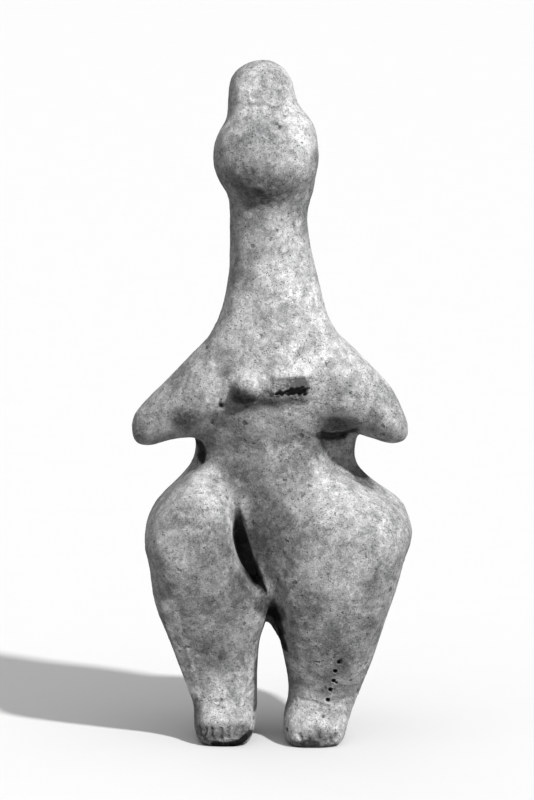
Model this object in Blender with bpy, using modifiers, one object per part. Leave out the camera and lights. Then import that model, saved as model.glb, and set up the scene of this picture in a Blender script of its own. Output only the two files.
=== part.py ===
"""Standing figurine of fired clay: a faceless round head with a topknot on a long flaring neck, stub arms,
small breasts of which one has broken off, wide hips and two tapering legs with small feet.
It was modelled as one lump, so it is one solid. It faces -Y, and its soles are on the plane z = 0."""

from collections import namedtuple

import bmesh
import bpy
import numpy as np
from mathutils import Matrix

# Driving sizes, in metres, from the soles up
leg_length = 0.0462  # soles to crotch
hips_height = 0.0472  # crotch to waist
chest_height = 0.0382  # waist to shoulders
neck_length = 0.0412
head_height = 0.0352  # chin to the foot of the topknot
topknot_height = 0.0120
figure_height = leg_length + hips_height + chest_height + neck_length + head_height + topknot_height

feet_width = 0.0460  # over both feet
hips_width = 0.0856
waist_width = 0.0515
arm_span = 0.0893
neck_width = 0.0258
head_width = 0.0344
topknot_width = 0.0218

foot_length = 0.0320
hips_depth = 0.0588
chest_depth = 0.0261
neck_depth = 0.0225
head_depth = 0.0317
topknot_depth = 0.0183

# The forms are laid out on a grid 219 parts high, on which these are the heights of the same places.
height_in_parts = 219.0
ankle = 10.0
crotch = 46.0
hip = 67.0
waist = 93.0
armpit = 104.0
breast = 116.0
shoulder = 131.0
neck = 162.0
chin = 172.0
head = 188.5
cap = 207.0
crown = height_in_parts
part = figure_height / height_in_parts

# Mesh fineness, in parts of the grid
form_voxel = 1.1
form_smoothing = 13
detail_voxel = 0.8
detail_smoothing = 2
triangle_budget = 9400
section_points = 40
section_step = 1.0

# Sections of a form lie across its length. For the trunk, hips and legs the length runs up Z and the
# near and far edges are on X. For the arms it runs along X and they are on Z. The front, the widest
# place and the back are on Y. Every number is in parts of the grid. Right and left are the figure's own.
Section = namedtuple("Section", "along near far front widest back")

torso_sections = [
    Section(60.0, -13.0, 14.0, -2.0, 5.0, 14.0),
    Section(88.0, -23.0, 15.4, -9.6, 4.0, 14.0),
    Section(96.0, -23.0, 15.8, -10.4, 3.0, 13.0),
    Section(armpit, -23.4, 20.4, -13.0, 1.0, 12.4),
    Section(breast, -23.2, 24.0, -14.4, 0.0, 12.8),
    Section(shoulder, -19.8, 21.0, -13.4, 0.0, 13.0),
    Section(137.0, -16.4, 17.6, -12.2, 0.0, 12.8),
    Section(144.0, -13.6, 14.6, -11.4, 0.0, 12.0),
    Section(150.0, -11.0, 12.0, -9.0, 0.0, 10.0),
]

neck_sections = [
    Section(breast, -18.0, 19.0, -12.0, 0.0, 12.4),
    Section(shoulder, -18.4, 19.4, -12.2, 0.0, 12.8),
    Section(144.0, -15.0, 15.9, -11.8, 0.0, 12.4),
    Section(152.0, -13.8, 14.2, -11.4, 0.0, 11.8),
    Section(neck, -13.7, 12.0, -11.2, 0.0, 11.2),
    Section(chin, -13.5, 11.6, -11.0, 0.0, 11.0),
    Section(179.0, -14.2, 13.8, -11.0, 0.0, 11.0),
    Section(head, -14.0, 12.8, -10.0, 0.0, 10.8),
    Section(cap, -14.0, 7.7, -8.2, 1.0, 10.0),
    Section(214.0, -12.8, 5.8, -7.0, 1.0, 9.0),
    Section(217.8, -8.4, 2.0, -3.8, 1.0, 5.8),
    Section(crown, -5.4, -0.4, -1.2, 1.0, 3.2),
]

hip_sections = [
    Section(37.0, -12.0, 13.0, 13.0, 16.0, 19.0),
    Section(41.0, -22.0, 24.0, 5.0, 14.0, 23.0),
    Section(crotch, -33.0, 34.0, -1.0, 12.0, 24.0),
    Section(52.0, -36.5, 38.0, -4.0, 10.0, 25.0),
    Section(60.0, -39.2, 42.4, -4.0, 9.0, 26.0),
    Section(70.0, -39.8, 44.0, -4.0, 8.0, 26.0),
    Section(76.0, -37.0, 41.4, -2.5, 10.0, 23.6),
    Section(80.0, -33.0, 35.2, -0.5, 11.0, 21.6),
    Section(88.0, -26.3, 27.4, -1.0, 9.0, 16.6),
    Section(waist, -24.9, 26.6, -2.5, 7.0, 14.4),
    Section(100.0, -25.0, 27.8, -4.0, 5.0, 13.4),
    Section(106.0, -22.0, 23.0, -6.0, 3.0, 12.4),
]

belly_sections = [
    Section(crotch, -2.6, 0.6, -12.6, -6.0, 0.0),
    Section(49.5, -3.8, 6.0, -14.0, -6.0, 0.0),
    Section(55.0, -6.4, 14.0, -15.2, -5.0, 0.0),
    Section(61.5, -8.6, 22.0, -15.6, -4.0, 0.0),
    Section(69.6, -11.4, 27.0, -14.8, -3.0, 0.0),
    Section(78.0, -14.0, 25.0, -13.4, -2.0, 2.0),
    Section(85.0, -16.4, 19.0, -12.0, -2.0, 4.0),
    Section(waist, -20.6, 15.6, -11.0, -2.0, 6.0),
    Section(100.0, -21.0, 15.0, -10.4, 0.0, 8.0),
    Section(108.0, -18.0, 16.0, -10.4, 0.0, 8.0),
]

right_leg_sections = [
    Section(-3.0, -20.0, -10.0, -11.0, -2.0, 7.0),
    Section(0.0, -23.4, -7.2, -15.8, -2.0, 11.4),
    Section(3.0, -24.8, -5.8, -17.4, -2.0, 12.6),
    Section(ankle, -24.9, -4.8, -14.6, 0.0, 11.8),
    Section(14.0, -26.0, -4.7, -13.0, 0.0, 11.6),
    Section(19.0, -28.1, -4.7, -12.8, 0.0, 12.8),
    Section(32.0, -32.7, -4.0, -16.2, 0.0, 18.4),
    Section(45.0, -37.6, -0.8, -20.4, 0.0, 25.4),
    Section(51.0, -38.6, -2.0, -22.4, 0.0, 28.4),
    Section(55.0, -39.0, -5.0, -23.6, 0.0, 29.6),
    Section(59.5, -39.8, -7.8, -24.6, 0.0, 30.0),
    Section(65.0, -40.9, -9.8, -25.2, 0.0, 29.2),
    Section(72.0, -39.3, -10.8, -24.2, 0.0, 25.2),
    Section(78.0, -35.0, -11.4, -21.8, -1.0, 19.6),
    Section(86.0, -26.6, -15.6, -13.0, -3.0, 8.0),
    Section(88.5, -22.6, -18.6, -7.6, -3.0, 3.0),
]

left_leg_sections = [
    Section(-3.0, 8.4, 18.0, -13.0, -3.0, 7.0),
    Section(0.0, 4.6, 22.4, -17.6, -3.0, 11.4),
    Section(3.0, 3.4, 23.8, -19.2, -3.0, 12.6),
    Section(6.0, 3.6, 24.4, -18.2, -2.0, 12.4),
    Section(13.0, 5.3, 27.0, -13.6, 0.0, 11.6),
    Section(25.6, 4.0, 32.2, -15.8, 0.0, 15.8),
    Section(38.6, 1.2, 36.4, -19.6, 0.0, 22.2),
    Section(45.0, 0.2, 38.6, -21.6, 0.0, 25.8),
    Section(50.0, -0.6, 40.2, -22.8, 0.0, 28.6),
    Section(61.0, 0.2, 43.4, -23.8, 0.0, 30.4),
    Section(65.0, 0.8, 45.0, -23.9, 0.0, 29.6),
    Section(71.0, 2.4, 44.0, -22.8, 0.0, 26.2),
    Section(76.0, 4.8, 39.8, -19.4, 0.0, 20.0),
    Section(80.5, 8.0, 32.0, -14.6, 0.0, 14.0),
    Section(84.5, 12.0, 25.6, -9.2, 0.0, 7.0),
    Section(86.5, 16.0, 22.0, -4.6, 0.0, 2.0),
]

# The calf and buttock swell inwards behind the left leg and show through the gap between the legs.
left_calf_sections = [
    Section(18.0, 9.0, 20.0, 3.0, 7.0, 11.0),
    Section(23.0, 5.2, 22.0, 1.0, 8.0, 14.0),
    Section(28.0, 3.4, 24.0, 0.0, 9.0, 16.0),
    Section(38.0, -1.8, 28.0, -1.0, 11.0, 22.0),
    Section(44.0, -2.6, 30.0, -2.0, 12.0, 24.0),
]

right_arm_sections = [
    Section(-8.0, 102.0, 134.0, -13.6, 0.0, 11.0),
    Section(-22.0, 98.3, 128.2, -13.4, 0.0, 11.0),
    Section(-33.0, 97.0, 117.2, -10.0, -0.6, 8.2),
    Section(-40.8, 95.2, 109.6, -9.4, -1.4, 5.4),
    Section(-43.2, 95.8, 106.8, -8.0, -1.6, 3.6),
    Section(-44.5, 97.4, 104.6, -6.0, -1.8, 1.4),
    Section(-45.0, 99.4, 102.8, -3.8, -2.0, -0.4),
]

left_arm_sections = [
    Section(9.0, 102.0, 134.0, -13.8, 0.0, 11.0),
    Section(17.0, 100.2, 133.4, -14.6, 0.0, 11.4),
    Section(28.6, 98.8, 124.4, -13.4, 0.0, 10.0),
    Section(32.5, 97.4, 120.3, -12.4, -0.6, 8.6),
    Section(39.3, 95.8, 112.4, -10.0, -1.4, 5.4),
    Section(41.8, 96.4, 107.2, -8.0, -1.6, 3.4),
    Section(43.2, 97.2, 103.4, -5.8, -1.8, 1.2),
    Section(43.9, 98.6, 101.2, -3.8, -2.0, -0.4),
]

# Rounded lumps: middle and half sizes on X, Y and Z
Lump = namedtuple("Lump", "middle half_size")
main_lumps = {
    "head": Lump((-1.95, -2.2, head), (17.1, 15.8, 16.8)),
    "head_left_side": Lump((0.5, -1.0, 194.0), (14.0, 12.6, 12.2)),
    "right_buttock": Lump((-18.8, 13.5, 59.5), (19.4, 19.5, 25.0)),
    "left_buttock": Lump((20.4, 13.5, 58.5), (20.4, 20.0, 26.0)),
}
right_breast = Lump((-8.0, -13.6, breast), (4.9, 5.6, 4.8))

# The left breast has broken off and left a low block with a flat scar.
stump_middle = (5.9, -14.2, 117.2)
stump_size = (11.6, 5.6, 5.8)
stump_lean = -0.06  # radians about Y: its outer end is the lower one

# The groove between the right thigh and the belly, cut in from the front
groove_sections = [
    Section(49.0, -3.8, -2.9, -40.0, -13.0, -10.0),
    Section(53.0, -6.8, -4.2, -40.0, -9.0, -6.0),
    Section(58.0, -10.6, -5.8, -40.0, -6.0, -3.0),
    Section(64.0, -12.8, -7.5, -40.0, -5.0, -2.0),
    Section(70.0, -13.2, -9.0, -40.0, -5.0, -2.0),
    Section(78.0, -13.3, -10.6, -40.0, -7.0, -4.0),
    Section(86.0, -13.5, -11.8, -40.0, -10.0, -8.0),
]

# Two shallow channels down the back
spine_sections = [
    Section(90.0, -2.6, 3.2, 14.6, 18.0, 22.0),
    Section(98.0, -3.2, 3.8, 12.4, 16.0, 21.0),
    Section(124.0, -3.4, 4.0, 11.6, 16.0, 21.0),
    Section(149.0, -2.8, 2.8, 11.8, 16.0, 21.0),
]
cleft_sections = [
    Section(40.0, -0.8, 2.2, 18.0, 30.0, 40.0),
    Section(48.0, -1.0, 2.4, 21.2, 30.0, 40.0),
    Section(75.0, -1.0, 2.4, 21.8, 30.0, 40.0),
    Section(84.0, -0.6, 1.8, 19.0, 30.0, 40.0),
]

clay_colour = (0.46, 0.46, 0.45, 1.0)
clay_roughness = 0.9


def clear_scene():
    for obj in list(bpy.data.objects):
        bpy.data.objects.remove(obj, do_unlink=True)


def new_collection(name):
    collection = bpy.data.collections.new(name)
    bpy.context.scene.collection.children.link(collection)
    return collection


def clay_material():
    """Matt fired clay."""
    material = bpy.data.materials.new("fired_clay")
    material.use_nodes = True
    shader = material.node_tree.nodes["Principled BSDF"]
    shader.inputs["Base Color"].default_value = clay_colour
    shader.inputs["Roughness"].default_value = clay_roughness
    shader.inputs["Metallic"].default_value = 0.0
    return material


def between(sections):
    """The sections with others laid smoothly between them, one every section_step or closer."""
    rows = np.array(sections, float)
    slopes = np.gradient(rows, rows[:, 0], axis=0)
    filled = []
    for low in range(len(rows) - 1):
        gap = rows[low + 1, 0] - rows[low, 0]
        steps = max(2, round(abs(gap) / section_step))
        for step in range(steps):
            t = step / steps
            start, end = rows[low], rows[low + 1]
            filled.append(
                (2 * t**3 - 3 * t**2 + 1) * start
                + (t**3 - 2 * t**2 + t) * gap * slopes[low]
                + (3 * t**2 - 2 * t**3) * end
                + (t**3 - t**2) * gap * slopes[low + 1]
            )
    filled.append(rows[-1])
    return [Section(*row) for row in filled]


def ring(section, squareness):
    """Points round one section as (along, across, depth): half an ellipse in front and another behind.
    A squareness of 2 is a true ellipse, and more is boxier."""
    angles = np.linspace(0, 2 * np.pi, section_points, endpoint=False)
    cosines, sines = np.cos(angles), np.sin(angles)
    power = 2 / squareness
    middle, half_width = (section.near + section.far) / 2, (section.far - section.near) / 2
    depths = np.where(sines < 0, section.widest - section.front, section.back - section.widest)
    across = middle + half_width * np.sign(cosines) * np.abs(cosines) ** power
    depth = section.widest + depths * np.sign(sines) * np.abs(sines) ** power
    return [(section.along, a, d) for a, d in zip(across, depth)]


def add_loft(bm, sections, first_squareness, last_squareness, along_x=False):
    """A closed skin over the sections, with flat ends."""
    loops = []
    length = sections[-1].along - sections[0].along
    for section in between(sections):
        share = (section.along - sections[0].along) / length
        points = ring(section, first_squareness + share * (last_squareness - first_squareness))
        if along_x:
            corners = [(along, depth, across) for along, across, depth in points]
        else:
            corners = [(across, depth, along) for along, across, depth in points]
        loops.append([bm.verts.new(corner) for corner in corners])
    faces = []
    for lower, upper in zip(loops, loops[1:]):
        for i in range(section_points):
            j = (i + 1) % section_points
            faces.append(bm.faces.new((lower[i], lower[j], upper[j], upper[i])))
    faces.append(bm.faces.new(reversed(loops[0])))
    faces.append(bm.faces.new(loops[-1]))
    bmesh.ops.recalc_face_normals(bm, faces=faces)


def add_lump(bm, lump):
    """An egg-shaped lump of clay."""
    made = bmesh.ops.create_uvsphere(bm, u_segments=32, v_segments=20, radius=1.0)
    bmesh.ops.scale(bm, vec=lump.half_size, verts=made["verts"])
    bmesh.ops.translate(bm, vec=lump.middle, verts=made["verts"])


def add_stump(bm):
    """The scar block of the broken breast."""
    made = bmesh.ops.create_cube(bm, size=1.0)
    bmesh.ops.scale(bm, vec=stump_size, verts=made["verts"])
    lean = Matrix.Rotation(-stump_lean, 3, "Y")
    bmesh.ops.rotate(bm, matrix=lean, verts=made["verts"])
    bmesh.ops.translate(bm, vec=stump_middle, verts=made["verts"])


def evaluated_mesh(obj):
    bpy.context.view_layer.update()
    graph = bpy.context.evaluated_depsgraph_get()
    return bpy.data.meshes.new_from_object(obj.evaluated_get(graph))


def grid_levels():
    """Heights on the grid, the same heights in metres, and metres for one part across and in depth."""
    crotch_up = leg_length
    waist_up = crotch_up + hips_height
    shoulder_up = waist_up + chest_height
    chin_up = shoulder_up + neck_length
    cap_up = chin_up + head_height
    hip_up = crotch_up + hips_height * (hip - crotch) / (waist - crotch)
    neck_up = shoulder_up + neck_length * (neck - shoulder) / (chin - shoulder)
    head_up = chin_up + head_height * (head - chin) / (cap - chin)
    armpit_up = waist_up + chest_height * (armpit - waist) / (shoulder - waist)
    below = -ankle
    return np.array([
        (below, below * part, feet_width / 45.8, foot_length / 31.8),
        (0.0, 0.0, feet_width / 45.8, foot_length / 31.8),
        (hip, hip_up, hips_width / 85.2, hips_depth / 58.5),
        (waist, waist_up, waist_width / 51.3, chest_depth / 26.0),
        (armpit, armpit_up, arm_span / 88.9, chest_depth / 26.0),
        (shoulder, shoulder_up, arm_span / 88.9, chest_depth / 26.0),
        (neck, neck_up, neck_width / 25.7, neck_depth / 22.4),
        (head, head_up, head_width / 34.2, head_depth / 31.6),
        (cap, cap_up, topknot_width / 21.7, topknot_depth / 18.2),
        (crown, figure_height, topknot_width / 21.7, topknot_depth / 18.2),
    ])


def lay_out(bm):
    """Turns the grid's numbers into metres by the driving sizes."""
    on_grid, up, across, deep = grid_levels().T
    for vertex in bm.verts:
        x, y, z = vertex.co
        vertex.co.x = x * np.interp(z, on_grid, across)
        vertex.co.y = y * np.interp(z, on_grid, deep)
        vertex.co.z = np.interp(z, on_grid, up)


def finished_object(bm, name, collection):
    mesh = bpy.data.meshes.new(name)
    bm.to_mesh(mesh)
    bm.free()
    obj = bpy.data.objects.new(name, mesh)
    collection.objects.link(obj)
    return obj


def main_forms(collection):
    """The large forms pressed into each other, still with their inner skins."""
    bm = bmesh.new()
    add_loft(bm, torso_sections, 2.2, 3.4)
    add_loft(bm, neck_sections, 2.1, 2.1)
    add_loft(bm, hip_sections, 2.3, 2.3)
    add_loft(bm, belly_sections, 2.0, 2.2)
    add_loft(bm, right_leg_sections, 3.8, 3.4)
    add_loft(bm, left_leg_sections, 3.8, 2.1)
    add_loft(bm, left_calf_sections, 2.1, 2.1)
    add_loft(bm, right_arm_sections, 2.0, 2.2, along_x=True)
    add_loft(bm, left_arm_sections, 2.0, 2.2, along_x=True)
    for lump in main_lumps.values():
        add_lump(bm, lump)
    lay_out(bm)
    return finished_object(bm, "main_forms", collection)


def add_breasts(mesh, collection):
    """The breasts set on the fused body."""
    bm = bmesh.new()
    add_lump(bm, right_breast)
    add_stump(bm)
    lay_out(bm)
    bm.from_mesh(mesh)
    bm.to_mesh(mesh)
    bm.free()
    body = bpy.data.objects.new("body", mesh)
    collection.objects.link(body)
    return body


def fuse(obj, voxel, smoothing):
    """One skin over all the forms, with the joins smoothed as a thumb does it."""
    skin = obj.modifiers.new("one_skin", "REMESH")
    skin.mode = "VOXEL"
    skin.voxel_size = voxel * part
    thumb = obj.modifiers.new("thumbed_joins", "SMOOTH")
    thumb.factor = 0.5
    thumb.iterations = round(smoothing)


def as_cutter(obj):
    obj.hide_render = True
    obj.display_type = "WIRE"
    return obj


def cut_away(obj, cutter):
    cut = obj.modifiers.new(cutter.name, "BOOLEAN")
    cut.operation = "DIFFERENCE"
    cut.solver = "EXACT"
    cut.object = cutter


def channel_cutter(name, sections, collection):
    bm = bmesh.new()
    add_loft(bm, sections, 2.2, 2.2)
    lay_out(bm)
    return as_cutter(finished_object(bm, name, collection))


def floor_cutter(collection):
    """A block below z = 0 that cuts the soles flat."""
    bm = bmesh.new()
    bmesh.ops.create_cube(bm, size=figure_height)
    bmesh.ops.translate(bm, vec=(0, 0, -figure_height / 2), verts=bm.verts)
    return as_cutter(finished_object(bm, "floor_cutter", collection))


def stand_on_origin(mesh):
    """Moves the mesh so that the middle of its box is over the origin."""
    points = np.array([vertex.co for vertex in mesh.vertices])
    low, high = points.min(axis=0), points.max(axis=0)
    shift = -(low + high) / 2
    for vertex in mesh.vertices:
        vertex.co.x += shift[0]
        vertex.co.y += shift[1]


def build():
    clear_scene()
    parts = new_collection("figurine_parts")
    helpers = new_collection("helpers")

    forms = main_forms(helpers)
    fuse(forms, form_voxel, form_smoothing)
    body = add_breasts(evaluated_mesh(forms), helpers)
    fuse(body, detail_voxel, 0)
    cut_away(body, channel_cutter("groin_groove", groove_sections, helpers))
    cut_away(body, channel_cutter("spine_channel", spine_sections, helpers))
    cut_away(body, channel_cutter("cleft_channel", cleft_sections, helpers))
    carved = evaluated_mesh(body)
    bpy.data.objects.remove(forms, do_unlink=True)
    bpy.data.objects.remove(body, do_unlink=True)

    figurine = bpy.data.objects.new("figurine", carved)
    parts.objects.link(figurine)
    fuse(figurine, detail_voxel, detail_smoothing)
    smooth_mesh = evaluated_mesh(figurine)
    figurine.modifiers.clear()
    figurine.data = smooth_mesh

    triangles = sum(len(face.vertices) - 2 for face in figurine.data.polygons)
    fewer = figurine.modifiers.new("fewer_faces", "DECIMATE")
    fewer.ratio = triangle_budget / triangles
    cut_away(figurine, floor_cutter(helpers))
    cut_mesh = evaluated_mesh(figurine)
    figurine.modifiers.clear()
    figurine.data = cut_mesh

    stand_on_origin(figurine.data)
    figurine.data.shade_smooth()
    figurine.data.materials.clear()
    figurine.data.materials.append(clay_material())


build()
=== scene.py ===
import math

import bmesh
import bpy
import numpy as np
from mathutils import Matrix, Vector


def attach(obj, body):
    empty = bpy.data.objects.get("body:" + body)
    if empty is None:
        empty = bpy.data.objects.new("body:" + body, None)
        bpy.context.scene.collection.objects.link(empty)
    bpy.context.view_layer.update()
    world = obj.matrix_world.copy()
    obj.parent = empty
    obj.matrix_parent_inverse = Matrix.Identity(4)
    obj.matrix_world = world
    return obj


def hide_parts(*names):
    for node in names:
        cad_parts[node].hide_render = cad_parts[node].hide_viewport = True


mm = 0.001  # every size below is in metres


# Helpers for node trees

def plug(tree, value, socket):  # links a socket, or sets a plain value
    if isinstance(value, bpy.types.NodeSocket):
        tree.links.new(value, socket)
    else:
        socket.default_value = value


def addNode(tree, kind, inputs=None, **settings):
    node = tree.nodes.new(kind)
    for name, value in settings.items():
        setattr(node, name, value)
    for name, value in (inputs or {}).items():
        plug(tree, value, node.inputs[name])
    return node


def maths(tree, operation, a, b=0.0, c=0.0):
    return addNode(tree, "ShaderNodeMath", {0: a, 1: b, 2: c}, operation=operation).outputs[0]


def vectorMaths(tree, operation, a, b=(0.0, 0.0, 0.0)):
    return addNode(tree, "ShaderNodeVectorMath", {0: a, 1: b}, operation=operation).outputs[0]


def scaled(tree, vector, factor):
    node = addNode(tree, "ShaderNodeVectorMath", {0: vector}, operation="SCALE")
    plug(tree, factor, node.inputs["Scale"])
    return node.outputs[0]


def smoothBetween(tree, value, low, high, start=0.0, end=1.0):
    inputs = {"Value": value, "From Min": low, "From Max": high, "To Min": start, "To Max": end}
    return addNode(tree, "ShaderNodeMapRange", inputs, interpolation_type="SMOOTHSTEP").outputs[0]


def newGeometryTree(name, sockets):  # a modifier tree with a geometry in and out and the named inputs
    tree = bpy.data.node_groups.new(name, "GeometryNodeTree")
    tree.interface.new_socket("Geometry", in_out="INPUT", socket_type="NodeSocketGeometry")
    tree.interface.new_socket("Geometry", in_out="OUTPUT", socket_type="NodeSocketGeometry")
    for socketName, kind in sockets:
        tree.interface.new_socket(socketName, in_out="INPUT", socket_type=kind)
    return tree, tree.nodes.new("NodeGroupInput").outputs


def keepAttribute(tree, geometry, name, value):
    inputs = {"Geometry": geometry, "Name": name, "Value": value}
    return addNode(tree, "GeometryNodeStoreNamedAttribute", inputs).outputs[0]


def endGeometryTree(tree, geometry, material):
    whole = addNode(tree, "GeometryNodeRealizeInstances", {"Geometry": geometry})
    painted = addNode(tree, "GeometryNodeSetMaterial", {"Geometry": whole.outputs[0], "Material": material})
    ends = tree.nodes.new("NodeGroupOutput")
    tree.links.new(painted.outputs[0], ends.inputs[0])


# puts the tree on the object with these values and keeps what it makes as a plain mesh
def applyTree(obj, tree, values):
    modifier = obj.modifiers.new(tree.name, "NODES")
    modifier.node_group = tree
    for item in tree.interface.items_tree:
        if item.item_type == "SOCKET" and item.in_out == "INPUT" and item.name in values:
            modifier[item.identifier] = values[item.name]
    keepEvaluated(obj)


def keepEvaluated(obj):
    bpy.context.view_layer.update()
    made = bpy.data.meshes.new_from_object(obj.evaluated_get(bpy.context.evaluated_depsgraph_get()))
    obj.modifiers.clear()
    old = obj.data
    obj.data = made
    bpy.data.meshes.remove(old)


# Helpers for sculpting by numbers

def pointsOf(obj):
    co = np.empty(len(obj.data.vertices) * 3, np.float32)
    obj.data.vertices.foreach_get("co", co)
    return co.reshape(-1, 3).astype(float)


def normalsOf(obj):
    out = np.empty(len(obj.data.vertices) * 3, np.float32)
    obj.data.vertices.foreach_get("normal", out)
    return out.reshape(-1, 3).astype(float)


def putPoints(obj, points):
    obj.data.vertices.foreach_set("co", points.astype(np.float32).ravel())
    obj.data.update()


def smoothStep(value, low, high):
    t = np.clip((value - low) / (high - low), 0, 1)
    return t * t * (3 - 2 * t)


def edgesOf(obj):
    pairs = np.empty(len(obj.data.edges) * 2, np.int32)
    obj.data.edges.foreach_get("vertices", pairs)
    return pairs.reshape(-1, 2)


def averaged(values, pairs, rounds, share=0.5):  # each value moves towards the mean of its neighbours
    count = np.bincount(pairs.ravel(), minlength=len(values)).astype(float)
    count[count == 0] = 1
    flat = values.reshape(len(values), -1)
    for _ in range(rounds):
        total = np.zeros_like(flat)
        for axis in range(flat.shape[1]):
            total[:, axis] = (
                np.bincount(pairs[:, 0], weights=flat[pairs[:, 1], axis], minlength=len(flat))
                + np.bincount(pairs[:, 1], weights=flat[pairs[:, 0], axis], minlength=len(flat))
            )
        flat = flat + share * (total / count[:, None] - flat)
    return flat.reshape(values.shape)


def putAttribute(obj, name, values):
    found = obj.data.attributes.get(name) or obj.data.attributes.new(name, "FLOAT", "POINT")
    found.data.foreach_set("value", values.astype(np.float32))


def distanceToPath(points, path):  # how far each point is from a line through the places of path
    best = np.full(len(points), 1e9)
    for start, end in zip(path, path[1:]):
        a, b = np.array(start), np.array(end)
        along = np.clip((points - a) @ (b - a) / ((b - a) @ (b - a)), 0, 1)
        best = np.minimum(best, np.linalg.norm(points - (a + along[:, None] * (b - a)), axis=1))
    return best


# The frame

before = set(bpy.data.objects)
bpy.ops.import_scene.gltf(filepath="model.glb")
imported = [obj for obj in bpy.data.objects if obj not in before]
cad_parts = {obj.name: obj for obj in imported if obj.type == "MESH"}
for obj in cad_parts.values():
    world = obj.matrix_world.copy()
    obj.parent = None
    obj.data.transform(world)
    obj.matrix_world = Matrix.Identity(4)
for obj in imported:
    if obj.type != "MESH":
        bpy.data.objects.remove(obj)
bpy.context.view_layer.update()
print("frame loaded")


# Body of the figurine: one piece of clay over the CAD solid's form

body = {
    "voxel": 0.92 * mm,
    "smoothing": 6,  # rounds, to lose the solid's flat facets
    "closeUps": [  # places that show small marks: middle, reach and how often the faces are split
        ((-16.5 * mm, -16 * mm, 8 * mm), (12 * mm, 12 * mm, 11 * mm), 1),
        ((15 * mm, -16 * mm, 13 * mm), (13 * mm, 12 * mm, 18 * mm), 1),
        ((-17 * mm, -18 * mm, 4 * mm), (10 * mm, 8 * mm, 6 * mm), 1),
        ((13 * mm, -17 * mm, 4 * mm), (12 * mm, 9 * mm, 6 * mm), 1),
        ((19.5 * mm, -19 * mm, 21 * mm), (3.4 * mm, 4 * mm, 9 * mm), 1),
        ((0 * mm, -18 * mm, 116 * mm), (20 * mm, 8 * mm, 11 * mm), 1),
        ((4 * mm, -19 * mm, 117 * mm), (10 * mm, 6 * mm, 6 * mm), 1),
        ((-3.5 * mm, -18 * mm, 52 * mm), (7 * mm, 7 * mm, 6 * mm), 1),
        ((-2 * mm, -14 * mm, 206 * mm), (10 * mm, 8 * mm, 5 * mm), 1),
    ],
}


def copyOfNode(name):  # the solid's own mesh as a new object, its loose triangles merged
    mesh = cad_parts[name].data.copy()
    bm = bmesh.new()
    bm.from_mesh(mesh)
    bmesh.ops.remove_doubles(bm, verts=bm.verts, dist=1e-6)
    bm.to_mesh(mesh)
    bm.free()
    mesh.materials.clear()
    obj = bpy.data.objects.new("figurineClay", mesh)
    bpy.context.scene.collection.objects.link(obj)
    return obj


def remeshed(obj):
    rounder = obj.modifiers.new("round the facets", "SUBSURF")
    rounder.levels = rounder.render_levels = 1
    fused = obj.modifiers.new("even mesh", "REMESH")
    fused.mode = "VOXEL"
    fused.voxel_size = body["voxel"]
    softer = obj.modifiers.new("smooth", "SMOOTH")
    softer.factor = 0.5
    softer.iterations = body["smoothing"]
    keepEvaluated(obj)


def splitCloseUps(obj):
    bm = bmesh.new()
    bm.from_mesh(obj.data)
    for middle, reach, rounds in body["closeUps"]:
        for _ in range(rounds):
            inside = []
            for face in bm.faces:
                offset = face.calc_center_median() - Vector(middle)
                share = sum((offset[i] / reach[i]) ** 2 for i in range(3))
                if share < 1 and face.normal.y < 0.35:
                    inside.append(face)
            edges = list({edge for face in inside for edge in face.edges})
            bmesh.ops.subdivide_edges(bm, edges=edges, cuts=1, use_grid_fill=True)
    bmesh.ops.triangulate(bm, faces=[face for face in bm.faces if len(face.verts) > 4])
    bm.to_mesh(obj.data)
    bm.free()


clay = copyOfNode("figurine")
remeshed(clay)
print("even mesh:", len(clay.data.polygons), "faces")


# Deep groove between the right thigh and the belly: its run is eased over and silted up at the top

groove = {
    # places across and up, in mm like all sizes here
    "path": [(-5.0, 52.5), (-6.5, 56.0), (-9.1, 61.2), (-10.5, 66.4), (-11.2, 71.6), (-11.8, 82.0)],
    "shift": 0.5,
    "reach": (2.5, 9.0),
    "frontEnds": (-1.0, 3.0),  # depth over which the front gives way to the back
    "silt": 0.93,  # share of the depth that is filled
    "siltFrom": (64, 78),  # height over which the silt comes in
    "siltReach": (2.0, 4.0),
    "surface": -16.0,
    "wornReach": (3.5, 6.5),
    "wornRounds": 16,  # how often its upper edges are rubbed soft
}


def easeGroove(obj):
    points, pairs = pointsOf(obj), edgesOf(obj)
    inMm = points / mm
    far = distanceToPath(inMm[:, (0, 2)], groove["path"])
    front = 1 - smoothStep(inMm[:, 1], *groove["frontEnds"])
    upper = smoothStep(inMm[:, 2], *groove["siltFrom"])
    silt = groove["silt"] * upper * (1 - smoothStep(far, *groove["siltReach"])) * front
    points[:, 1] += np.minimum(groove["surface"] * mm - points[:, 1], 0) * silt
    points[:, 0] += groove["shift"] * mm * (1 - smoothStep(far, *groove["reach"])) * front
    worn = upper * (1 - smoothStep(far, *groove["wornReach"])) * front
    for _ in range(groove["wornRounds"]):
        points += (averaged(points, pairs, 1) - points) * worn[:, None]
    putPoints(obj, points)


easeGroove(clay)
print("groove eased over")


# Broken left breast: a leaning scar whose lower edge hangs over a dark gap

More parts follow.
